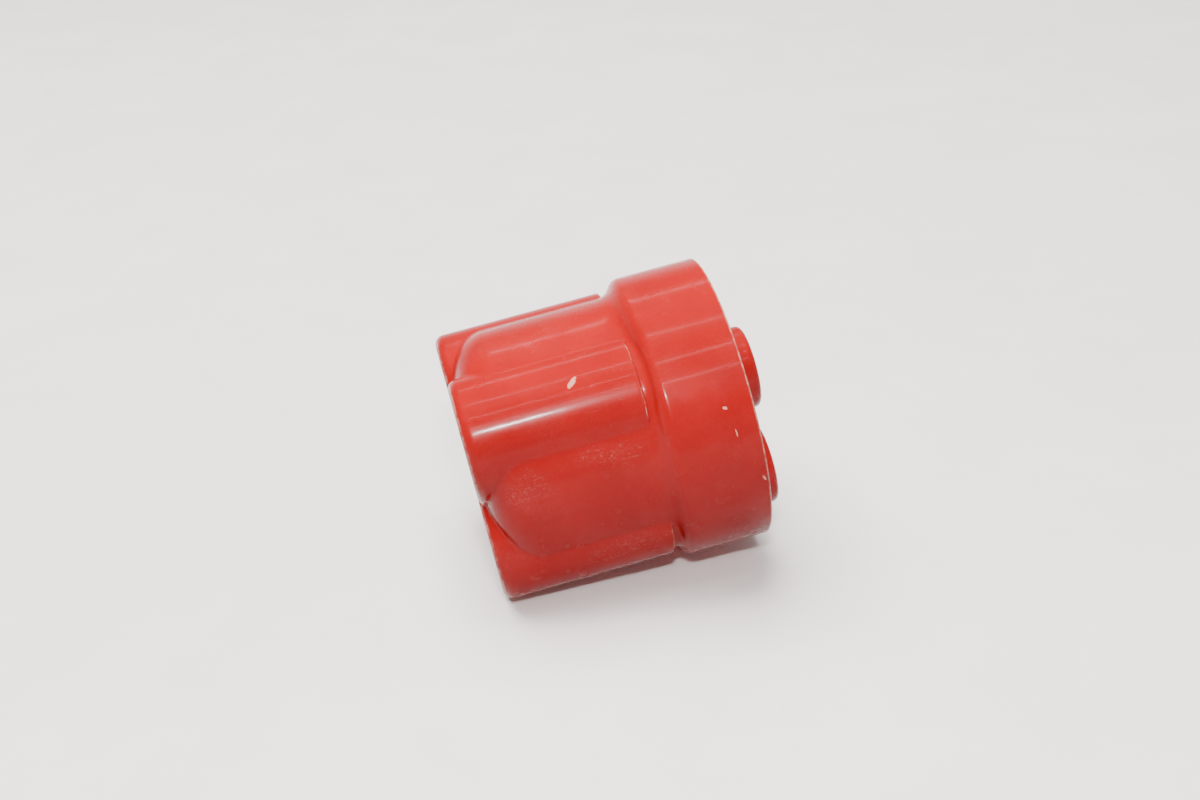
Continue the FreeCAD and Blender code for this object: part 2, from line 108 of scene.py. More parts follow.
# -------------------------------------------------- sizes that a CAD box doesn't give
COLLAR_LENGTH = 30.4
COLLAR_ROUNDING = 3.6
DRUM_R = 44.7
DRUM_SHORTFALL = 2.5
SHOULDER_STARTS = 20.0
SHOULDER_RISE = 7.0
SHOULDER_LEAST = 0.02
DOME_R = 14.9
LOBE_R = 21.7
LOBE_LOW = 33.7
LOBE_ROUNDING = 3.5
LOBE_EDGE_BLEND = 0.9
GROOVE_DEPTH = 1.9
GROOVE_BLEND = 2.0
GROOVE_PAST_LOBE = 4.0
VALLEY_BLEND = 0.5
SHOULDER_BLEND_AT_LOBE = 3.6
SHOULDER_BLEND_IN_SCALLOP = 9.0
RIM_EDGE = 0.45
WELL_R = 26.0
WELL_FLOOR = KNOB_LOW - 0.7
WELL_CORNER = 1.2
MOUTH_BLEND = 2.2
WELL_WALL_ROWS = (76, 82)
RECESS_R = 45.5
CAVITY_R = 38.5
BUSH_R = 7.5
REAR_BUSH_R = 7.0
REAR_BUSH_LOW = 15.0
SHAFT_R = 5.0
PILLAR_R = 5.2
PILLAR_BLEND = 1.2
INSERT_R = 3.4
INSERT_PITCH_R = 42.2
INSERT_THREAD = (2.5, 0.8)
BOSS_R = 14.1
BOSS_ROUNDING = 1.9
BOSS_FOOT = 1.4
SOCKET_R = 9.2
COVER_LOW = 8.0
TERMINAL_R = 8.0
TERMINAL_THREAD = (5.0, 1.5)
THREAD_DEPTH = 20.0
FLANGE_HEIGHT = 3.0
COVER_SCREW_R = 1.7
COVER_SCREW_HEAD_R = 3.3
COVER_SCREW_PITCH_R = 41.9
COVER_SCREW_ANGLES = (22.5, 112.5, 202.5, 292.5)
KNOB_ANGLE = 135
KNOB_PLATE_TOP = 76.0
KNOB_RECESS_R = 9.0
KNOB_RECESS_TOP = 72.8
GRIP_HALF_LENGTH = 23.5
GRIP_HALF_WIDTH = 6.0
GRIP_FLARE = 3.2
GRIP_TOP_ROUNDING = 1.8
GRIP_SQUARENESS = 0.42
FINGER_HOLLOW_AT = 12.5
FINGER_HOLLOW_LENGTH = 5.2
FINGER_HOLLOW_SHARE = 0.14
POINTER_ENDS = (9.0, 20.0)
POINTER_HALF_WIDTH = 1.2
MARK_STROKE = 1.4
ON_MARK_HALF_LENGTH = 4.2
INLAY_PROUD = 0.06
SPRING_WIRE_R = 0.9
SPRING_PITCH = 3.8
SPRING_STEPS_A_TURN = 40
SPRING_WIRE_COLUMNS = 14

# -------------------------------------------------- how finely it is made and worn
SKIN_COLUMNS = 420
DISC_COLUMNS = 190
PLATE_COLUMNS = 158
TERMINAL_COLUMNS = 72
INSERT_COLUMNS = 48
GRIP_COLUMNS = 160
FLAT_ENOUGH = 0.99999
JOINED_BELOW = 0.0005 * MM
WEAR_LONGEST_EDGE = 2.6
WEAR_MOST_SIDES = 9
WEAR_BULGES = (-1, 4)
RAY_INSIDE_R = 34.0
RAY_OUTSIDE_R = 56.0


# -------------------------------------------------- mesh helpers
def lay(points):
    """Upright points in millimetres to the CAD frame in metres."""
    points = np.asarray(points, float)
    return np.stack([points[..., 0], -points[..., 2], points[..., 1]], -1) * MM


def spot(angle, radius, height=0.0):
    """The upright point at an angle round the axis and a distance from it."""
    turn = math.radians(angle)
    return np.array([radius * math.cos(turn), radius * math.sin(turn), height])


def new_piece(name, shells, crease=40):
    """A smooth-shaded piece from upright (points, faces) shells, sharp where faces meet beyond the crease."""
    points = np.concatenate([shell[0] for shell in shells])
    faces = []
    start = 0
    for shell_points, shell_faces in shells:
        faces += [tuple(index + start for index in face) for face in shell_faces]
        start += len(shell_points)
    mesh = bpy.data.meshes.new(name)
    mesh.from_pydata(lay(points).tolist(), [], faces)
    work = bmesh.new()
    work.from_mesh(mesh)
    bmesh.ops.recalc_face_normals(work, faces=work.faces)
    work.to_mesh(mesh)
    work.free()
    piece = bpy.data.objects.new(name, mesh)
    bpy.context.scene.collection.objects.link(piece)
    shade(piece, crease)
    return piece


def shade(piece, crease):
    mesh = piece.data
    mesh.polygons.foreach_set("use_smooth", [True] * len(mesh.polygons))
    mesh.set_sharp_from_angle(angle=math.radians(crease))


def flatten_ends(piece):
    """Keeps the faces square to the axis flat to the eye, where a shallow fillet or a cut meets them."""
    work = bmesh.new()
    work.from_mesh(piece.data)
    for edge in work.edges:
        flat = [abs(face.normal.y) > FLAT_ENOUGH for face in edge.link_faces]
        if any(flat) and not all(flat):
            edge.smooth = False
    work.to_mesh(piece.data)
    work.free()


def grid(rows, wrap=False):
    """A shell over rows of points that each go round; it closes on itself, or has a fan over each end row."""
    count, columns = rows.shape[:2]
    points = rows.reshape(-1, 3)
    faces = []
    for row in range(count if wrap else count - 1):
        near, far = row * columns, (row + 1) % count * columns
        for column in range(columns):
            beside = (column + 1) % columns
            faces.append((near + column, near + beside, far + beside, far + column))
    if not wrap:
        points = np.concatenate([points, rows[:1].mean(1), rows[-1:].mean(1)])
        last = (count - 1) * columns
        for column in range(columns):
            beside = (column + 1) % columns
            faces.append((beside, column, count * columns))
            faces.append((last + column, last + beside, count * columns + 1))
    return points, faces


def rounded(corners, steps=6):
    """An outline from (x, y, rounding) corners, each drawn as an arc of that rounding."""
    outline = []
    count = len(corners)
    for i, (x, y, rounding) in enumerate(corners):
        here = np.array([x, y], float)
        if rounding <= 0:
            outline.append(here)
            continue
        back = np.array(corners[i - 1][:2], float) - here
        ahead = np.array(corners[(i + 1) % count][:2], float) - here
        back /= np.linalg.norm(back)
        ahead /= np.linalg.norm(ahead)
        half = math.acos(np.clip(back @ ahead, -1, 1)) / 2
        centre = here + (back + ahead) / np.linalg.norm(back + ahead) * rounding / math.sin(half)
        start = here + back * rounding / math.tan(half) - centre
        end = here + ahead * rounding / math.tan(half) - centre
        angle = math.acos(np.clip(start @ end / rounding**2, -1, 1))
        for step in range(steps + 1):
            share = step / steps
            arm = start * math.sin((1 - share) * angle) + end * math.sin(share * angle)
            outline.append(centre + arm / math.sin(angle))
    return np.array(outline)


def circle(around):
    turn = np.arange(around) * TAU / around
    return np.cos(turn), np.sin(turn), turn


def lathe(outline, around=96, centre=(0, 0, 0), wrap=False):
    """Turns an outline of (radius, height) points: closed on itself, or from the axis and back to it."""
    outline = np.asarray(outline, float)
    if not wrap:
        outline = outline[outline[:, 0] > 0]
    cosine, sine, _ = circle(around)
    radius, height = outline[:, 0][:, None], outline[:, 1][:, None]
    rows = np.stack([radius * cosine, radius * sine, height + 0 * cosine], -1)
    return grid(rows + np.array(centre), wrap)


def rod(radius, low, high, centre=(0, 0, 0), around=64):
    return lathe([(radius, low), (radius, high)], around, (centre[0], centre[1], 0))


def slab(x_range, y_range, z_range, turned=0.0):
    """A block, or with pairs of ranges one that tapers from the low to the high end."""
    corner_x, corner_y = np.array([0, 1, 1, 0]), np.array([0, 0, 1, 1])
    rows = []
    for end, height in enumerate(z_range):
        x = x_range[end] if isinstance(x_range[0], tuple) else x_range
        y = y_range[end] if isinstance(y_range[0], tuple) else y_range
        rows.append([(x[i], y[j], height) for i, j in zip(corner_x, corner_y)])
    points, faces = grid(np.array(rows, float))
    return turn_points(points, turned), faces


def turn_points(points, degrees):
    turn = math.radians(degrees)
    x = points[..., 0] * math.cos(turn) - points[..., 1] * math.sin(turn)
    y = points[..., 0] * math.sin(turn) + points[..., 1] * math.cos(turn)
    return np.stack([x, y, points[..., 2]], -1)


def combine(piece, operation, shells, crease=40):
    """Cuts shells out of the piece, or joins them to it."""
    tools = [new_piece("tool", [shell]) for shell in shells]
    for tool in tools:
        modifier = piece.modifiers.new("combine", "BOOLEAN")
        modifier.operation = operation
        modifier.solver = "EXACT"
        modifier.object = tool
    bpy.context.view_layer.update()
    result = bpy.data.meshes.new_from_object(piece.evaluated_get(bpy.context.evaluated_depsgraph_get()))
    piece.modifiers.clear()
    old = piece.data
    piece.data = result
    bpy.data.meshes.remove(old)
    for tool in tools:
        bpy.data.objects.remove(tool)
    mend(piece)
    shade(piece, crease)


def mend(piece):
    """Joins points that a cut leaves less than a micrometre apart, and fills the odd face that it drops."""
    work = bmesh.new()
    work.from_mesh(piece.data)
    bmesh.ops.remove_doubles(work, verts=work.verts, dist=JOINED_BELOW)
    gaps = [edge for edge in work.edges if edge.is_boundary]
    bmesh.ops.holes_fill(work, edges=gaps, sides=8)
    bmesh.ops.recalc_face_normals(work, faces=work.faces)
    work.to_mesh(piece.data)
    work.free()


def repeated(piece, places):
    """Puts copies of the piece's mesh at upright places, all in the one piece."""
    whole = bmesh.new()
    for place in places:
        copy = piece.data.copy()
        copy.transform(Matrix.Translation(Vector(lay(place))))
        whole.from_mesh(copy)
        bpy.data.meshes.remove(copy)
    whole.to_mesh(piece.data)
    whole.free()
    piece.data.update()


def mark_edges(piece):
    """Stores how sharply the surface bulges, per millimetre, for the pale edges (wear, and on the red
    moulding partly a painted highlight); large faces get none.
    """
    mesh = piece.data
    count = len(mesh.vertices)
    points, normals = np.empty(count * 3), np.empty(count * 3)
    mesh.vertices.foreach_get("co", points)
    mesh.vertices.foreach_get("normal", normals)
    ends = np.empty(len(mesh.edges) * 2, int)
    mesh.edges.foreach_get("vertices", ends)
    points, normals, ends = points.reshape(-1, 3) / MM, normals.reshape(-1, 3), ends.reshape(-1, 2)
    along = points[ends[:, 1]] - points[ends[:, 0]]
    bend = normals[ends[:, 1]] - normals[ends[:, 0]]
    length = np.maximum((along**2).sum(1), 1e-4)
    bulge = (along * bend).sum(1) / length
    most = np.full(count, -1.0)
    np.maximum.at(most, ends[:, 0], bulge)
    np.maximum.at(most, ends[:, 1], bulge)

    corners = len(mesh.loops)
    corner_point, corner_edge = np.empty(corners, int), np.empty(corners, int)
    mesh.loops.foreach_get("vertex_index", corner_point)
    mesh.loops.foreach_get("edge_index", corner_edge)
    sides = np.empty(len(mesh.polygons), int)
    mesh.polygons.foreach_get("loop_total", sides)
    face = np.repeat(np.arange(len(sides)), sides)
    longest = np.zeros(len(sides))
    np.maximum.at(longest, face, np.sqrt(length)[corner_edge])
    small = (longest[face] < WEAR_LONGEST_EDGE) & (sides[face] < WEAR_MOST_SIDES)
    store = mesh.attributes.new("bulge", "FLOAT", "CORNER")
    store.data.foreach_set("value", np.where(small, np.clip(most[corner_point], *WEAR_BULGES), 0))


def stands_for(piece, body, slot, *nodes):
    """Puts the piece in place of CAD nodes and on their body; the slot argument is not used."""
    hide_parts(*nodes)
    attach(piece, body)
    mark_edges(piece)


# -------------------------------------------------- the moulding
def smooth_min(a, b, blend):
    """The smaller of two distances, eased together where they differ by less than the blend."""
    overlap = np.maximum(blend - np.abs(a - b), 0) / blend
    return np.minimum(a, b) - overlap**2 * blend / 4


def rounded_rod(radius_here, height, radius, top, rounding):
    """Distance to a rod that goes down for ever and has a rounded edge at its top."""
    out = radius_here - (radius - rounding)
    up = height - (top - rounding)
    return np.minimum(np.maximum(out, up), 0) + np.hypot(np.maximum(out, 0), np.maximum(up, 0)) - rounding


def moulding(radius, turn, height):
    """Roughly the distance to the moulding's outer surface, below 0 inside, with its soft blends."""
    drum = rounded_rod(radius, height, DRUM_R, LENGTH - DRUM_SHORTFALL, DOME_R)
    collar = rounded_rod(radius, height, COLLAR_R, COLLAR_LENGTH, COLLAR_ROUNDING)
    scallop = (1 + np.cos(4 * turn)) / 2
    blend = SHOULDER_BLEND_AT_LOBE + (SHOULDER_BLEND_IN_SCALLOP - SHOULDER_BLEND_AT_LOBE) * scallop
    near_shoulder = np.clip((height - SHOULDER_STARTS) / SHOULDER_RISE, SHOULDER_LEAST, 1)
    outside = np.maximum(smooth_min(drum, collar, blend * near_shoulder), radius - COLLAR_R)
    x, y = radius * np.cos(turn), radius * np.sin(turn)
    for angle in DIAGONALS:
        lobe_x, lobe_y, _ = spot(angle, PITCH_R)
        aside = np.hypot(x - lobe_x, y - lobe_y)
        lobe = rounded_rod(aside, height, LOBE_R, LENGTH, LOBE_ROUNDING)
        lobe = -smooth_min(-lobe, height - LOBE_LOW, LOBE_EDGE_BLEND)
        groove_top = LOBE_LOW + GROOVE_PAST_LOBE
        groove_floor = rounded_rod(aside, height, LOBE_R - GROOVE_DEPTH, groove_top, LOBE_ROUNDING)
        outside = smooth_min(smooth_min(outside, groove_floor, GROOVE_BLEND), lobe, VALLEY_BLEND)
    return -smooth_min(-outside, radius - WELL_R, MOUTH_BLEND)


def first_exit(starts, ends, turn):
    """Where rays, given by their (radius, height) ends, first leave the moulding."""
    shares = np.linspace(0, 1, 33)
    outside = np.stack([ray_point_is_out(starts, ends, turn, share) for share in shares])
    step = np.argmax(outside, axis=0)
    low, high = shares[np.maximum(step - 1, 0)], shares[step]
    for _ in range(22):
        middle = (low + high) / 2
        out = ray_point_is_out(starts, ends, turn, middle)
        low, high = np.where(out, low, middle), np.where(out, middle, high)
    return starts + (ends - starts) * low[..., None]


def ray_point_is_out(starts, ends, turn, share):
    at = starts + (ends - starts) * np.broadcast_to(share, (len(starts), len(turn)))[..., None]
    return moulding(at[..., 0], turn, at[..., 1]) > 0


def outer_skin(turn):
    """The skin from the well's wall over the top and down the side, along rays that fan out from inside.

    A ray is its inner and its outer (radius, height); so many steps lead from each ray to the next.
    """
    fan = [
        ((30, 87), (22, 87), 10),
        ((30, 87), (22, 97), 14),
        ((34, 84), (34, 99), 40),
        ((34, 80), (56, 98), 26),
        ((34, 74), (56, 74), 22),
        ((34, 44), (56, 44), 8),
        ((43, 37.5), (56, 38.5), 14),
        ((43, 36.6), (50.6, 31.4), 12),
        ((41.5, 35.2), (48.4, 32.7), 12),
        ((40, 28), (49.6, 33.4), 16),
        ((40, 22), (56, 33), 18),
        ((36, 10), (56, 26), 12),
        ((34, 4), (56, 4), 0),
    ]
    starts, ends = [], []
    for (near, far, steps), (next_near, next_far, _) in zip(fan, fan[1:]):
        for step in range(steps):
            share = step / steps
            starts.append(np.array(near) * (1 - share) + np.array(next_near) * share)
            ends.append(np.array(far) * (1 - share) + np.array(next_far) * share)
    return first_exit(np.array(starts)[:, None, :], np.array(ends)[:, None, :], turn)


def pillar_reach(turn, angle):
    """How far from the axis a ray meets the near side of a pillar; nothing where it misses."""
    offset = turn - math.radians(angle)
    root = PILLAR_R**2 - (INSERT_PITCH_R * np.sin(offset)) ** 2
    hits = (root > 0) & (np.cos(offset) > 0)
    return np.where(hits, INSERT_PITCH_R * np.cos(offset) - np.sqrt(np.maximum(root, 0)), 2 * COLLAR_R)


def case_shell():
    turn = (np.arange(SKIN_COLUMNS) + 0.5) * TAU / SKIN_COLUMNS
    recess = np.full(SKIN_COLUMNS, RECESS_R)
    for angle in SQUARES:
        recess = smooth_min(recess, pillar_reach(turn, angle), PILLAR_BLEND)

    def row(radius, height):
        return np.stack([radius + 0 * turn, np.full(SKIN_COLUMNS, float(height))], -1)

    arc = [(1 - math.sin(turned), 1 - math.cos(turned)) for turned in QUARTER_TURN]
    rows = [row(COLLAR_R, 2.0), row(COLLAR_R, 1.0)]
    rows += [row(COLLAR_R - RIM_EDGE * across, RIM_EDGE * down) for down, across in arc]
    rows += [row(recess + RIM_EDGE * across, RIM_EDGE * down) for across, down in arc]
    rows += [row(recess, 1.0), row(recess, 7.0), row(recess, LEDGE), row(CAVITY_R, LEDGE)]
    rows += [row(CAVITY_R, CEILING), row(BUSH_R, CEILING)]
    rows += [row(BUSH_R, WELL_FLOOR), row(WELL_R - 6, WELL_FLOOR)]
    for inwards, upwards in arc:
        rows.append(row(WELL_R - WELL_CORNER * inwards, WELL_FLOOR + WELL_CORNER * upwards))
    rows += [row(WELL_R, height) for height in WELL_WALL_ROWS]
    profile = np.concatenate([outer_skin(turn), np.array(rows)])
    x, y = profile[..., 0] * np.cos(turn), profile[..., 0] * np.sin(turn)
    shell = new_piece("case_shell", [grid(np.stack([x, y, profile[..., 1]], -1), wrap=True)], crease=60)
    holes = [rod(INSERT_R, -1, INSERT_DEPTH, spot(angle, INSERT_PITCH_R)) for angle in SQUARES]
    combine(shell, "DIFFERENCE", holes, crease=60)
    stands_for(shell, "case", "red_moulding", "housing")
    return shell


# -------------------------------------------------- rear cover, its screws, terminals and inserts
def cover_shell():
    end = -BOSS_STAND
    disc = rounded([
        (0, COVER_LOW, 0),
        (COVER_R, COVER_LOW, 0.5),
        (COVER_R, COVER_HIGH, 0.3),
        (0, COVER_HIGH, 0),
    ])
    piece = new_piece("cover_shell", [lathe(disc, DISC_COLUMNS)])
    boss = rounded([
        (0, end, 0),
        (BOSS_R, end, BOSS_ROUNDING),
        (BOSS_R, COVER_LOW, BOSS_FOOT),
        (BOSS_R + 2.4, COVER_LOW + 0.12, 0),
        (BOSS_R + 2.4, COVER_HIGH - 0.5, 0),
        (0, COVER_HIGH - 0.5, 0),
    ], 8)
    joined = [lathe(boss, 96, spot(angle, PITCH_R)) for angle in DIAGONALS]
    joined.append(rod(SOCKET_R, COVER_HIGH - 1, SOCKET_TOP))
    joined += [slab((13, 34), (-1.5, 1.5), (COVER_HIGH - 1.5, BARRIER_TOP), turned) for turned in (0, 180)]
    combine(piece, "UNION", joined)
    bore = [
        (TERMINAL_R + 0.5, end - 1),
        (TERMINAL_R + 0.5, end),
        (TERMINAL_R, end + 0.5),
        (TERMINAL_R, COVER_HIGH + 1),
    ]
    cut = [lathe(bore, 96, spot(angle, PITCH_R)) for angle in DIAGONALS]
    cut.append(rod(REAR_BUSH_R, REAR_BUSH_LOW, SOCKET_TOP + 1))
    cut += [rod(PILLAR_R + 0.3, 0, COVER_HIGH + 1, spot(angle, INSERT_PITCH_R)) for angle in SQUARES]
    screw_places = [spot(angle, COVER_SCREW_PITCH_R) for angle in COVER_SCREW_ANGLES]
    cut += [rod(COVER_SCREW_R, 0, COVER_HIGH + 1, place, 32) for place in screw_places]
    combine(piece, "DIFFERENCE", cut)
    flatten_ends(piece)
    stands_for(piece, "case", "red_moulding", "rear_cover")
    return piece


def cross_head_screws():
    low, high = SCREW_HEAD_LOW, COVER_LOW
    outline = rounded([
        (0, low, 0),
        (COVER_SCREW_HEAD_R, low + 0.25, 1.3),
        (COVER_SCREW_HEAD_R, high, 0.1),
        (COVER_SCREW_R, high, 0),
        (COVER_SCREW_R, SCREW_END, 0.4),
        (0, SCREW_END, 0),
    ])
    piece = new_piece("cross_head_screws", [lathe(outline, 64)])
    arm = ((-2.1, 2.1), (-1.2, 1.2))
    width = ((-0.6, 0.6), (-0.35, 0.35))
    cross = [slab(arm, width, (low - 0.5, low + 1.7), turned) for turned in (20, 110)]
    combine(piece, "DIFFERENCE", cross)
    repeated(piece, [spot(angle, COVER_SCREW_PITCH_R) for angle in COVER_SCREW_ANGLES])
    stands_for(piece, "case", "zinc_steel", "cover_screws")
    return piece


THREAD_DEPTH_SHARE = 0.54


def thread_rows(thread, start, end, around, steps_a_pitch=8):
    """A right-hand inside thread, as rows of points from its mouth inwards, fading out at both ends."""
    radius, pitch = thread
    cosine, sine, turn = circle(around)
    rows = []
    count = round((end - start) / pitch * steps_a_pitch)
    for step in range(count + 1):
        height = start + (end - start) * step / count
        phase = (height / pitch - turn / TAU) % 1
        ridge = np.clip(1.25 * np.abs(2 * phase - 1) - 0.12, 0, 1)
        fade = min(1, (height - start) / pitch, (end - height) / pitch)
        here = radius - THREAD_DEPTH_SHARE * pitch * ridge * fade
        rows.append(np.stack([here * cosine, here * sine, height + 0 * turn], -1))
    return np.array(rows)


def ring_rows(outline, around):
    cosine, sine, _ = circle(around)
    return np.array([np.stack([r * cosine, r * sine, h + 0 * cosine], -1) for r, h in outline])


def terminal_shell(number, angle):
    mouth = -BOSS_STAND
    floor = mouth + THREAD_DEPTH
    thread_r = TERMINAL_THREAD[0]
    outside = rounded([
        (0, TERMINAL_TOP, 0),
        (TERMINAL_R, TERMINAL_TOP, 0.4),
        (TERMINAL_R, COVER_HIGH + FLANGE_HEIGHT, 0.2),
        (FLANGE_R, COVER_HIGH + FLANGE_HEIGHT, 0.3),
        (FLANGE_R, COVER_HIGH, 0.1),
        (TERMINAL_R, COVER_HIGH, 0),
        (TERMINAL_R, mouth, 0.4),
        (thread_r + 0.4, mouth, 0.08),
        (thread_r, mouth + 0.4, 0),
    ], 4)
    rows = np.concatenate([
        ring_rows(outside[1:], TERMINAL_COLUMNS),
        thread_rows(TERMINAL_THREAD, mouth + 0.5, floor - 1.5, TERMINAL_COLUMNS),
        ring_rows([(thread_r - 0.7, floor - 0.4), (0.4, floor + 1.6)], TERMINAL_COLUMNS),
    ])
    piece = new_piece(f"terminal_{number}_threaded", [grid(rows + spot(angle, PITCH_R))])
    stands_for(piece, "case", "brass", f"terminal_{number}")
    return piece


def insert_shells():
    thread_r = INSERT_THREAD[0]
    outside = rounded([(INSERT_R, INSERT_DEPTH, 0.2), (INSERT_R, 0, 0.2), (thread_r + 0.3, 0, 0.05)], 3)
    rows = np.concatenate([
        ring_rows(outside, INSERT_COLUMNS),
        thread_rows(INSERT_THREAD, 0.3, INSERT_DEPTH - 0.3, INSERT_COLUMNS, 6),
        ring_rows([(thread_r + 0.1, INSERT_DEPTH)], INSERT_COLUMNS),
    ])
    shells = [grid(rows + spot(angle, INSERT_PITCH_R), wrap=True) for angle in SQUARES]
    piece = new_piece("threaded_inserts", shells)
    stands_for(piece, "case", "brass", "panel_inserts")
    return piece


def coil_spring():
    """The carrier's return spring."""
    low, high = heights("return_spring")
    coil_r = half_width("return_spring") - SPRING_WIRE_R
    rise = high - low - 2 * SPRING_WIRE_R
    steps = round(rise / SPRING_PITCH * SPRING_STEPS_A_TURN)
    cosine, sine, _ = circle(SPRING_WIRE_COLUMNS)
    rows = []
    for step in range(steps + 1):
        share = step / steps
        turn = rise / SPRING_PITCH * TAU * share
        out = np.array([math.cos(turn), math.sin(turn), 0])
        middle = out * coil_r + np.array([0, 0, low + SPRING_WIRE_R + rise * share])
        rows.append(middle + SPRING_WIRE_R * (cosine[:, None] * out + sine[:, None] * np.array([0, 0, 1])))
    piece = new_piece("coil_spring", [grid(np.array(rows))])
    stands_for(piece, "case", "spring_steel", "return_spring")
    return piece


def squash_spring(piece):
    """Gives the spring a mesh of its own, shared with no other piece."""
    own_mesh(piece)


# -------------------------------------------------- knob and marks
def grip_rows():
    """The grip as rows round it from its flared foot to its flat top, with hollows for the fingers."""
    _, _, turn = circle(GRIP_COLUMNS)
    foot = KNOB_PLATE_TOP - 1.2
    flare, top_round = GRIP_FLARE, GRIP_TOP_ROUNDING
    levels = []
    for step in range(9):
        angle = step / 8 * math.pi / 2
        levels.append((foot + 0.9 + flare * (1 - math.cos(angle)), flare * (1 - math.sin(angle))))
    levels += [(height, -0.02 * (height - 80)) for height in (82, 85, 88)]
    for step in range(8):
        angle = step / 7 * math.pi / 2
        spread = -0.25 - top_round * (1 - math.cos(angle))
        levels.append((KNOB_TOP - top_round + top_round * math.sin(angle), spread))
    levels.insert(0, (foot, flare + 0.3))
    rows = []
    for height, spread in levels:
        long, wide = GRIP_HALF_LENGTH - 0.2 + min(spread, 0.8), GRIP_HALF_WIDTH - 0.1 + spread
        x = long * np.sign(np.cos(turn)) * np.abs(np.cos(turn)) ** GRIP_SQUARENESS
        y = wide * np.sign(np.sin(turn)) * np.abs(np.sin(turn)) ** GRIP_SQUARENESS
        hollow = np.exp(-((np.abs(x) - FINGER_HOLLOW_AT) / FINGER_HOLLOW_LENGTH) ** 2)
        lift = np.clip((height - KNOB_PLATE_TOP) / 5, 0, 1)
        rows.append(np.stack([x, y * (1 - FINGER_HOLLOW_SHARE * hollow * lift), height + 0 * turn], -1))
    return turn_points(np.array(rows), KNOB_ANGLE)


def stadium(inner, outer, half_wide, low, high, angle, edge=0.12):
    """A bar with round ends and softened upper edges, lying along a radius."""
    rows = []
    for height, inset in ((low, 0), (high - edge, 0), (high - edge / 3, edge / 3), (high, edge)):
        radius = half_wide - inset
        round_it = []
        for middle, start in ((outer - half_wide, -math.pi / 2), (inner + half_wide, math.pi / 2)):
            for step in range(13):
                turn = start + math.pi * step / 12
                round_it.append((middle + radius * math.cos(turn), radius * math.sin(turn), height))
        rows.append(round_it)
    points, faces = grid(np.array(rows))
    return turn_points(points, angle), faces


def knob_shell():
    plate = rounded([
        (0, KNOB_LOW, 0),
        (KNOB_R, KNOB_LOW, 0.4),
        (KNOB_R, KNOB_PLATE_TOP - 0.4, 1.6),
        (KNOB_R - 5, KNOB_PLATE_TOP, 1.5),
        (0, KNOB_PLATE_TOP, 0),
    ], 8)
    piece = new_piece("knob_shell", [lathe(plate, PLATE_COLUMNS)])
    combine(piece, "UNION", [grid(grip_rows())], crease=50)
    low, high = POINTER_ENDS
    seat_r = CAP_R + 0.12
    cap_seat = [(seat_r, CAP_LOW - 3.8), (seat_r, KNOB_TOP - 0.3), (CAP_R + 0.8, KNOB_TOP + 0.4)]
    hollows = [
        rod(KNOB_RECESS_R, KNOB_LOW - 1, KNOB_RECESS_TOP),
        rod(SHAFT_R + 0.05, KNOB_LOW - 1, CAP_LOW - 5.6),
        lathe(cap_seat, 64),
        stadium(low, high, POINTER_HALF_WIDTH + 0.1, INLAY_LOW, KNOB_TOP + 1, KNOB_ANGLE),
    ]
    combine(piece, "DIFFERENCE", hollows, crease=50)
    flatten_ends(piece)
    stands_for(piece, "rotor", "knob_plastic", "knob")
    return piece


def knob_plug():
    """The plug over the knob's screw, softly domed and a hair below the grip's top."""
    outline = rounded([
        (0, CAP_LOW, 0),
        (CAP_R, CAP_LOW, 0.2),
        (CAP_R, KNOB_TOP - 0.3, 0.3),
        (0, KNOB_TOP - 0.02, 0),
    ])
    piece = new_piece("knob_plug", [lathe(outline, 64)])
    stands_for(piece, "rotor", "knob_plastic", "knob_cap")
    return piece


def pointer_line():
    low, high = POINTER_ENDS
    bar = stadium(low, high, POINTER_HALF_WIDTH, INLAY_LOW, KNOB_TOP + INLAY_PROUD, KNOB_ANGLE)
    piece = new_piece("pointer_line", [bar])
    stands_for(piece, "rotor", "white_inlay", "pointer_inlay")
    return piece


def off_ring():
    top = LENGTH + INLAY_PROUD
    inner = MARK_R - MARK_STROKE
    outline = rounded([
        (inner, MARK_LOW, 0),
        (MARK_R, MARK_LOW, 0),
        (MARK_R, top, 0.12),
        (inner, top, 0.12),
    ], 3)
    piece = new_piece("off_ring", [lathe(outline, 72, spot(135, MARK_PITCH_R), wrap=True)])
    stands_for(piece, "case", "white_inlay", "off_mark")
    return piece


def on_bar():
    low, high = MARK_PITCH_R - ON_MARK_HALF_LENGTH, MARK_PITCH_R + ON_MARK_HALF_LENGTH
    piece = new_piece("on_bar", [stadium(low, high, MARK_STROKE / 2, MARK_LOW, LENGTH + INLAY_PROUD, 45)])
    stands_for(piece, "case", "white_inlay", "on_mark")
    return piece


# -------------------------------------------------- materials
RAMP_SOCKETS = ("From Min", "From Max", "To Min", "To Max")


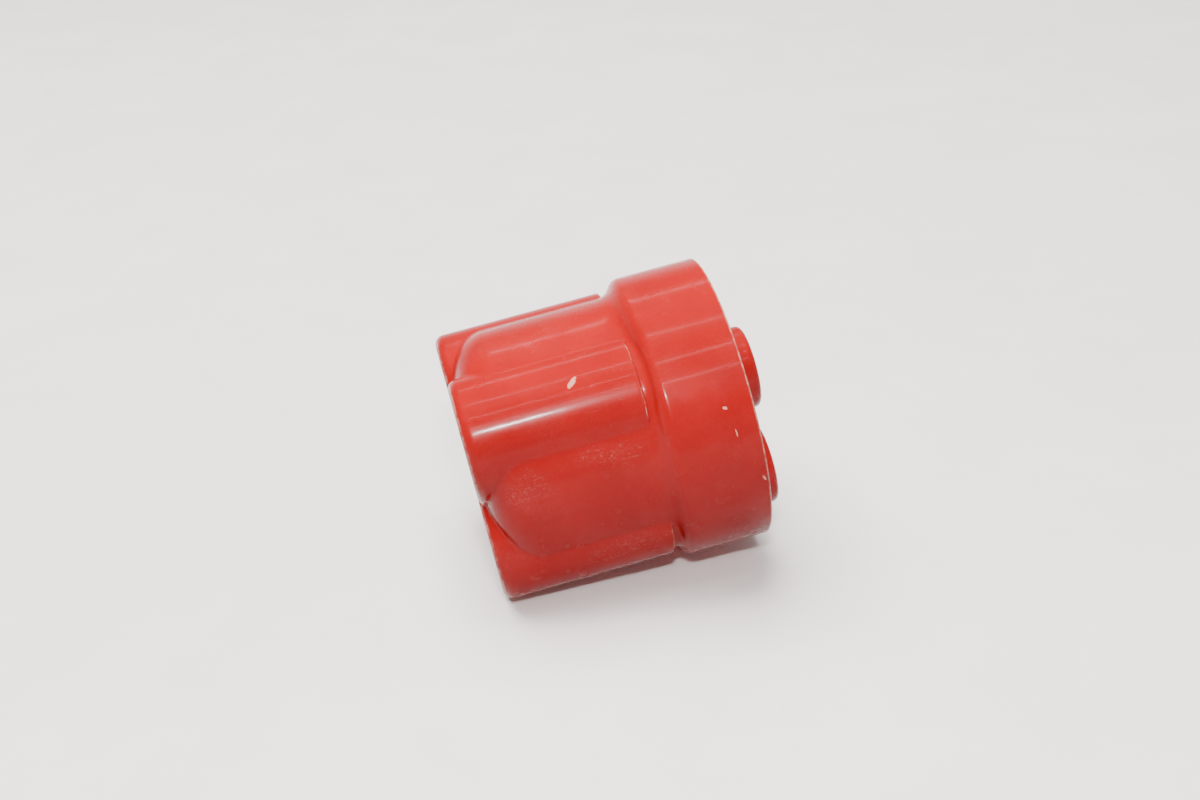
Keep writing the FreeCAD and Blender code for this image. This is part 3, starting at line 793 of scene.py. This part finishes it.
class Surface:
    """A procedural material, with its nodes added and linked in a few words. Sizes are in millimetres."""

    def __init__(self, name):
        self.material = bpy.data.materials.new(name)
        self.material.use_nodes = True
        self.tree = self.material.node_tree
        self.shader = self.tree.nodes["Principled BSDF"]
        self.here = self.node("ShaderNodeTexCoord").outputs["Object"]

    def node(self, kind, **settings):
        node = self.tree.nodes.new(kind)
        for key, value in settings.items():
            setattr(node, key, value)
        return node

    def feed(self, socket, value):
        if isinstance(value, bpy.types.NodeSocket):
            self.tree.links.new(value, socket)
        else:
            socket.default_value = value

    def math(self, operation, *values):
        node = self.node("ShaderNodeMath", operation=operation)
        for socket, value in zip(node.inputs, values):
            self.feed(socket, value)
        return node.outputs[0]

    def times(self, first, second):
        return self.math("MULTIPLY", first, second)

    def plus(self, first, second):
        return self.math("ADD", first, second)

    def noise(self, size, detail=3.0, rough=0.5, stretch=(1, 1, 1), shift=0.0):
        """Noise from about 0 to 1, with grains of that size, drawn out along the row's axes by stretch."""
        mapping = self.node("ShaderNodeMapping")
        self.feed(mapping.inputs["Vector"], self.here)
        mapping.inputs["Location"].default_value = (shift, shift, shift)
        mapping.inputs["Scale"].default_value = [1 / (size * MM * part) for part in stretch]
        noise = self.node("ShaderNodeTexNoise")
        self.feed(noise.inputs["Vector"], mapping.outputs[0])
        noise.inputs["Scale"].default_value = 1.0
        noise.inputs["Detail"].default_value = detail
        noise.inputs["Roughness"].default_value = rough
        return noise.outputs["Fac"]

    def ramp(self, value, low, high, from_value=0.0, to_value=1.0):
        node = self.node("ShaderNodeMapRange", interpolation_type="SMOOTHSTEP")
        for name, number in zip(RAMP_SOCKETS, (low, high, from_value, to_value)):
            self.feed(node.inputs[name], number)
        self.feed(node.inputs["Value"], value)
        return node.outputs[0]

    def mix(self, share, first, second):
        node = self.node("ShaderNodeMix", data_type="RGBA")
        for socket, value in ((node.inputs[0], share), (node.inputs[6], first), (node.inputs[7], second)):
            self.feed(socket, (*value, 1) if isinstance(value, tuple) else value)
        return node.outputs[2]

    def bulge(self, low, high):
        """1 on edges that stand out more sharply than high, 0 where the surface is flatter than low."""
        store = self.node("ShaderNodeAttribute", attribute_name="bulge")
        return self.ramp(store.outputs["Fac"], low, high)

    def patch(self, centre, along, across, out, sizes, ragged=0.35):
        """A ragged spot, 1 at its middle and 0 outside, lying on the surface at an upright centre."""
        turned = Matrix((along, across, out)).transposed().to_euler()
        mapping = self.node("ShaderNodeMapping", vector_type="TEXTURE")
        self.feed(mapping.inputs["Vector"], self.here)
        mapping.inputs["Location"].default_value = centre
        mapping.inputs["Rotation"].default_value = turned
        mapping.inputs["Scale"].default_value = [size * MM for size in sizes]
        length = self.node("ShaderNodeVectorMath", operation="LENGTH")
        self.feed(length.inputs[0], mapping.outputs[0])
        off_middle = self.math("SUBTRACT", self.noise(min(sizes[:2]) * 0.8), 0.5)
        return self.plus(length.outputs["Value"], self.times(off_middle, 2 * ragged))

    def place(self):
        """How far a point is from the switch's axis, and its height along it, in millimetres."""
        split = self.node("ShaderNodeSeparateXYZ")
        self.feed(split.inputs[0], self.here)
        x, y, z = split.outputs
        squares = self.plus(self.times(x, x), self.times(z, z))
        return self.times(self.math("SQRT", squares), 1 / MM), self.times(y, -1 / MM)

    def rough(self, value):
        self.feed(self.shader.inputs["Roughness"], value)

    def colour(self, value):
        self.feed(self.shader.inputs["Base Color"], value)

    def bump(self, *layers):
        """Stacks (height, depth) layers of relief; a depth is how far the height of 1 stands out."""
        normal = None
        for height, depth in layers:
            node = self.node("ShaderNodeBump")
            node.inputs["Distance"].default_value = depth * MM
            self.feed(node.inputs["Height"], height)
            if normal:
                self.feed(node.inputs["Normal"], normal)
            normal = node.outputs[0]
        self.feed(self.shader.inputs["Normal"], normal)

    def fixed(self, **values):
        """Sets sockets of the shader that are the same all over; their names have _ for a space."""
        for name, value in values.items():
            self.shader.inputs[name.replace("_", " ")].default_value = value


def skin_point(angle, height):
    """The row point on the moulding's side at an angle and height."""
    start, end = np.array([[[RAY_INSIDE_R, height]]]), np.array([[[RAY_OUTSIDE_R, height]]])
    radius = first_exit(start, end, np.array([math.radians(angle)]))[0, 0, 0]
    return Vector(lay(spot(angle, radius, height)))


def skin_frame(angle, height, tilt):
    """A point on the moulding's side, with directions along, across and out of it; tilt leans the first."""
    round_it = (skin_point(angle + 0.5, height) - skin_point(angle - 0.5, height)).normalized()
    up_it = Vector((0, -1, 0))
    lean = math.radians(tilt)
    along = up_it * math.cos(lean) + round_it * math.sin(lean)
    across = round_it * math.cos(lean) - up_it * math.sin(lean)
    return skin_point(angle, height), along, across, along.cross(across)


def strongest(surface, spots):
    """The highest value of several spots at each place."""
    value = 0.0
    for spot_here in spots:
        value = surface.math("MAXIMUM", value, spot_here)
    return value


def chips(surface):
    """Where the skin is chipped through to its paler inside: small ragged spots, 1 inside and 0 outside."""

    def chip(angle, height, tilt, long, wide):
        reach = surface.patch(*skin_frame(angle, height, tilt), (long, wide, 2))
        return surface.ramp(reach, 1.0, 0.72)

    on_lobe = chip(49.4, 54.9, -45, 2.7, 1.0)
    on_collar = chip(24, 9.6, 30, 0.9, 0.6)
    scratch = chip(13.8, 7.9, 85, 1.6, 0.28)
    at_lobed_end = chip(7.6, 91.2, 10, 0.9, 0.5)
    at_rim = chip(352.3, 1.7, 70, 1.3, 0.5)
    elsewhere = [chip(140, 48, 20, 1.6, 0.5), chip(228, 66, -30, 1.2, 0.6), chip(262, 14, 60, 1.8, 0.35)]
    return strongest(surface, [on_lobe, on_collar, scratch, at_lobed_end, at_rim, *elsewhere])


def rubbed_areas(surface):
    """Where handling has left dust and fine scuffs: soft areas along the scallops and the lower lobe."""

    def area(angle, height, tilt, long, wide, strength):
        reach = surface.patch(*skin_frame(angle, height, tilt), (long, wide, 8), 0.5)
        return surface.ramp(reach, 1.15, 0.2, 0, strength)

    below_lobe = area(18, 50, 8, 16, 4.5, 0.9)
    scallop_end = area(11, 79, 0, 11, 9, 0.8)
    lower_lobe = area(330, 48, -6, 22, 5, 0.9)
    upper_scallop = [area(78, 65, 40, 3.5, 2, 0.9), area(86, 57, -20, 3, 1.5, 0.7)]
    far_side = [area(180, 60, 0, 15, 9, 0.7), area(265, 55, 10, 18, 8, 0.8), area(140, 20, 80, 14, 6, 0.6)]
    return strongest(surface, [below_lobe, scallop_end, lower_lobe, *upper_scallop, *far_side])


def red_moulding(name):
    """Glossy red moulding compound: faint clouding, fine ripple, dust, chips and scuffs, and pale edges that
    are partly rubbed wear and partly a painted highlight.
    """
    surface = Surface(name)
    clouds = surface.noise(26, 3, 0.55)
    fine = surface.noise(1.1, 3, 0.65, shift=3.0)
    red = surface.mix(surface.ramp(clouds, 0.3, 0.7), (0.33, 0.0028, 0.0038), (0.39, 0.0045, 0.0055))
    red = surface.mix(surface.ramp(fine, 0.4, 0.75, 0, 0.15), red, (0.46, 0.02, 0.018))

    haze = surface.ramp(surface.noise(10, 5, 0.6, (1, 2.0, 1), 7.0), 0.45, 0.8)
    grains = surface.ramp(surface.noise(0.42, 2, 0.7, shift=11.0), 0.58, 0.74)
    crumbs = surface.ramp(surface.noise(0.8, 5, 0.8, (1, 1.6, 1), 19.0), 0.53, 0.68)
    dust = surface.times(haze, surface.plus(surface.times(grains, 0.2), 0.016))
    streaks = surface.ramp(surface.noise(0.5, 3, 0.6, (1, 14, 1), 5.0), 0.58, 0.74)
    texture = surface.plus(surface.times(crumbs, 0.34), surface.times(streaks, 0.2))
    scuffed = surface.times(rubbed_areas(surface), surface.plus(texture, 0.015))
    pale = surface.math("MINIMUM", surface.plus(dust, scuffed), 0.5)
    colour = surface.mix(pale, red, (0.60, 0.27, 0.24))

    patchy = surface.ramp(surface.noise(2.6, 5, 0.65, shift=2.0), 0.36, 0.62, 0.25, 1)
    # Paler convex edges and lobe-end rim, towards (0.74, 0.38, 0.29): partly rubbed wear, partly a painted
    # edge highlight.
    worn = surface.math("MAXIMUM", surface.times(surface.bulge(0.9, 2.0), patchy), end_wear_and_highlight(surface))
    colour = surface.mix(surface.times(worn, 0.7), colour, (0.74, 0.38, 0.29))
    chipped = chips(surface)
    colour = surface.mix(surface.times(chipped, 0.85), colour, (0.80, 0.33, 0.24))
    surface.colour(colour)

    gloss = surface.ramp(surface.noise(7, 4, 0.6, shift=9.0), 0.3, 0.75, 0.21, 0.29)
    gloss = surface.plus(gloss, surface.times(pale, 0.7))
    surface.rough(surface.plus(gloss, surface.times(chipped, 0.35)))
    scratches = surface.ramp(surface.noise(0.35, 2, 0.5, (1, 26, 1), 13.0), 0.66, 0.72)
    surface.bump((clouds, 0.12), (fine, 0.005), (scratches, -0.006), (chipped, -0.12))
    surface.fixed(Coat_Weight=0.1, Coat_Roughness=0.08, IOR=1.5, Specular_IOR_Level=0.1)
    return surface.material


def end_wear_and_highlight(surface):
    """The pale outer edge of the lobes' flat ends, partly rubbed wear and partly a painted highlight: a
    narrow patchy band that fades towards the well.
    """
    from_axis, along_axis = surface.place()
    reached = surface.ramp(along_axis, LENGTH - 1.2, LENGTH - 0.6)
    passed = surface.ramp(along_axis, LENGTH - 0.1, LENGTH - 0.35)
    band = surface.times(reached, passed)
    band = surface.times(band, surface.ramp(from_axis, WELL_R + 3, WELL_R + 8, 0, 0.6))
    return surface.times(band, surface.ramp(surface.noise(5, 4, 0.7, shift=21.0), 0.4, 0.6))


def moulded(name, colour, rough, grain=0.5, relief=0.02, dusty=0.2, edge=(0.2, 0.2, 0.2)):
    """A satin moulded plastic or rubber with a fine spark-eroded grain, rubbed edges and some dust."""
    surface = Surface(name)
    clouds = surface.noise(12, 4, 0.6)
    skin = surface.noise(grain, 3, 0.7, shift=4.0)
    darker = tuple(part * 0.8 for part in colour)
    base = surface.mix(surface.ramp(clouds, 0.3, 0.7), darker, colour)
    flecks = surface.ramp(surface.noise(0.4, 2, 0.7, shift=8.0), 0.62, 0.75)
    dust = surface.times(surface.times(surface.ramp(clouds, 0.42, 0.7), flecks), dusty)
    base = surface.mix(dust, base, (0.55, 0.53, 0.5))
    patchy = surface.ramp(surface.noise(1.6, 4, 0.6), 0.35, 0.65)
    worn = surface.times(surface.bulge(0.4, 1.8), patchy)
    surface.colour(surface.mix(surface.times(worn, 0.5), base, edge))
    gloss = surface.ramp(skin, 0.3, 0.7, rough - 0.06, rough + 0.08)
    surface.rough(surface.math("SUBTRACT", gloss, surface.times(worn, 0.18)))
    surface.bump((skin, relief), (clouds, 0.08))
    return surface.material


def metal(name, colour, dark, rough, rings=False, stretch=(1, 1, 1), tarnish=0.35):
    """A worked metal: turning rings about the axis or drawn-out tool marks, tarnish and brighter edges."""
    surface = Surface(name)
    if rings:
        pair = surface.node("ShaderNodeCombineXYZ")
        for socket, value in zip(pair.inputs, surface.place()):
            surface.feed(socket, value)
        lines = surface.node("ShaderNodeTexNoise")
        surface.feed(lines.inputs["Vector"], pair.outputs[0])
        lines.inputs["Scale"].default_value = 6
        marks = lines.outputs["Fac"]
    else:
        marks = surface.noise(0.18, 2, 0.6, stretch)
    stains = surface.noise(4, 5, 0.65, shift=6.0)
    base = surface.mix(surface.ramp(stains, 0.45, 0.75, 0, tarnish), colour, dark)
    base = surface.mix(surface.ramp(marks, 0.3, 0.7, 0, 0.25), base, dark)
    bright = surface.bulge(0.5, 2.0)
    brighter = tuple(min(1, part * 1.2) for part in colour)
    surface.colour(surface.mix(surface.times(bright, 0.5), base, brighter))
    gloss = surface.ramp(marks, 0.25, 0.75, rough - 0.07, rough + 0.1)
    surface.rough(surface.plus(gloss, surface.ramp(stains, 0.5, 0.8, 0, 0.15)))
    surface.bump((marks, 0.008), (stains, 0.02))
    surface.fixed(Metallic=1.0)
    return surface.material


def finishes():
    """The material of every slot but the red one, by the slot's name."""
    black, grey = (0.016, 0.016, 0.017), (0.16, 0.16, 0.16)
    silver, cream = (0.84, 0.83, 0.8), (0.85, 0.84, 0.8)
    return {
        "white_inlay": moulded("white_inlay", (0.82, 0.80, 0.74), 0.5, 0.4, 0.01, 0.4, (0.7, 0.66, 0.58)),
        "knob_plastic": moulded("knob_plastic", black, 0.36, 0.45, 0.03, 0.3, (0.1, 0.1, 0.1)),
        "carrier_plastic": moulded("carrier_plastic", (0.06, 0.06, 0.065), 0.45, 0.5, 0.02, 0.05, grey),
        "rubber": moulded("rubber", (0.022, 0.022, 0.023), 0.62, 0.35, 0.02, 0.3, (0.06, 0.06, 0.06)),
        "washer_plastic": moulded("washer_plastic", (0.78, 0.77, 0.72), 0.4, 0.5, 0.01, 0.05, cream),
        "brass": metal("brass", (0.66, 0.42, 0.15), (0.30, 0.16, 0.05), 0.27, stretch=(3, 1, 3)),
        "copper": metal("copper", (0.86, 0.42, 0.27), (0.35, 0.12, 0.06), 0.3, stretch=(12, 1, 1)),
        "contact_silver": metal("contact_silver", silver, (0.42, 0.4, 0.36), 0.28, stretch=(2, 1, 2)),
        "steel": metal("steel", (0.60, 0.60, 0.61), (0.30, 0.30, 0.31), 0.26, rings=True),
        "zinc_steel": metal("zinc_steel", (0.52, 0.52, 0.51), (0.30, 0.30, 0.29), 0.36, stretch=(2, 2, 2)),
        "spring_steel": metal("spring_steel", (0.42, 0.42, 0.43), (0.16, 0.15, 0.15), 0.3, stretch=(3, 1, 3)),
        "bronze": metal("bronze", (0.62, 0.42, 0.22), (0.30, 0.17, 0.08), 0.42, rings=True, tarnish=0.5),
    }


def dress(piece, material):
    piece.data.materials.clear()
    piece.data.materials.append(material)


def dress_cad_nodes(materials):
    """The pieces inside keep their CAD shapes, and take the finish of their slot."""
    for part in frame["record"]["subparts"]:
        node = bpy.data.objects.get(part["node"])
        if node is not None:
            for place in node.material_slots:
                place.material = materials[part["material_slot"]]


# -------------------------------------------------- floor, lights and camera
FLOOR_GAP = 0.2 * MM
FLASH_ABOVE_LENS = 0.13
TUBE_DISTANCE = 1.6
TUBE_ELEVATIONS = (50, 67, 91, 132)


def paper_floor():
    """A pale sheet that the part lies on: the collar's edge and the ends of the two lower lobes touch it."""
    collar_touch = np.array([-(COLLAR_LENGTH - COLLAR_ROUNDING) * MM, -COLLAR_R * MM])
    lobe_low = PITCH_R * math.sin(math.radians(45)) + LOBE_R
    lobe_touch = np.array([-(LENGTH - LOBE_ROUNDING) * MM, -lobe_low * MM])
    run = collar_touch - lobe_touch
    slope = math.atan2(run[1], run[0])
    mesh = bpy.data.meshes.new("floor")
    half = 1.3
    corners = [(-half, -half, 0), (half, -half, 0), (half, half, 0), (-half, half, 0)]
    mesh.from_pydata(corners, [], [(0, 1, 2, 3)])
    floor = bpy.data.objects.new("floor", mesh)
    bpy.context.scene.collection.objects.link(floor)
    floor.rotation_euler = (slope, 0, 0)
    floor.location = (0, lobe_touch[0], lobe_touch[1] - FLOOR_GAP)
    surface = Surface("paper")
    fibres = surface.noise(0.6, 4, 0.7)
    clouds = surface.noise(60, 3, 0.6)
    surface.colour(surface.mix(surface.ramp(clouds, 0.3, 0.7), (0.92, 0.875, 0.84), (0.96, 0.92, 0.89)))
    surface.rough(surface.ramp(fibres, 0.3, 0.7, 0.7, 0.85))
    surface.bump((fibres, 0.02))
    surface.fixed(Specular_IOR_Level=0.2)
    dress(floor, surface.material)
    floor.visible_diffuse = False


def area_light(name, place, aim, size, power, mirrored=True):
    lamp = bpy.data.lights.new(name, "AREA")
    lamp.shape = "RECTANGLE"
    lamp.size, lamp.size_y = size
    lamp.energy = power
    light = bpy.data.objects.new(name, lamp)
    bpy.context.scene.collection.objects.link(light)
    light.location = place
    light.rotation_euler = (Vector(aim) - Vector(place)).to_track_quat("-Z", "Y").to_euler()
    light.visible_glossy = mirrored
    return light


def pale_room():
    """A world that is pale round the horizon, and dimmer overhead and below."""
    world = bpy.data.worlds.new("room")
    bpy.context.scene.world = world
    world.use_nodes = True
    tree = world.node_tree
    background = tree.nodes["Background"]
    direction = tree.nodes.new("ShaderNodeTexCoord")
    split = tree.nodes.new("ShaderNodeSeparateXYZ")
    tree.links.new(direction.outputs["Generated"], split.inputs[0])
    fade = tree.nodes.new("ShaderNodeMapRange")
    fade.interpolation_type = "SMOOTHSTEP"
    for name, number in zip(RAMP_SOCKETS, (0.08, 0.4, 1.35, 0.3)):
        fade.inputs[name].default_value = number
    steepness = tree.nodes.new("ShaderNodeMath")
    steepness.operation = "ABSOLUTE"
    tree.links.new(split.outputs[2], steepness.inputs[0])
    tree.links.new(steepness.outputs[0], fade.inputs["Value"])
    tree.links.new(fade.outputs[0], background.inputs[1])
    background.inputs[0].default_value = (1.0, 0.97, 0.955, 1)


def lights_and_camera():
    """The camera, a small flash over it, a soft light overhead and thin tubes along the ceiling."""
    scene = bpy.context.scene
    camera = bpy.data.objects.new("camera", bpy.data.cameras.new("camera"))
    scene.collection.objects.link(camera)
    camera.data.lens = 50
    camera.data.sensor_width = 36
    right, up = Vector((0.1955, 0.9602, -0.1990)), Vector((-0.4218, 0.2657, 0.8669))
    turned = Matrix((right, up, right.cross(up))).transposed().to_4x4()
    camera.matrix_world = Matrix.Translation(Vector((0.5134, -0.0938, 0.2767))) @ turned
    scene.camera = camera

    middle = Vector((0, -0.045, 0))
    over_lens = camera.matrix_world @ Vector((0.0, FLASH_ABOVE_LENS, 0.0))
    area_light("flash", over_lens, middle, (0.05, 0.03), 2.7)
    area_light("overhead", (-0.35, -0.15, 2.0), middle, (1.7, 1.7), 120.0, mirrored=False)
    for elevation in TUBE_ELEVATIONS:
        turn = math.radians(elevation)
        place = Vector((TUBE_DISTANCE * math.cos(turn), 0.25, TUBE_DISTANCE * math.sin(turn)))
        area_light(f"tube_{elevation}", place, middle + Vector((0, 0.29, 0)), (0.9, 0.02), 2.2)


# -------------------------------------------------- making
def make():
    reds = [case_shell(), cover_shell()]
    terminals = [terminal_shell(number, angle) for number, angle in enumerate(DIAGONALS, 1)]
    materials = finishes()
    materials["red_moulding"] = red_moulding("red_moulding")
    for piece in reds:
        dress(piece, materials["red_moulding"])
    for piece in [*terminals, insert_shells()]:
        dress(piece, materials["brass"])
    dress(cross_head_screws(), materials["zinc_steel"])
    for piece in (knob_shell(), knob_plug()):
        dress(piece, materials["knob_plastic"])
    for piece in (pointer_line(), off_ring(), on_bar()):
        dress(piece, materials["white_inlay"])
    spring = coil_spring()
    dress(spring, materials["spring_steel"])
    squash_spring(spring)
    dress_cad_nodes(materials)
    paper_floor()
    pale_room()
    lights_and_camera()


make()
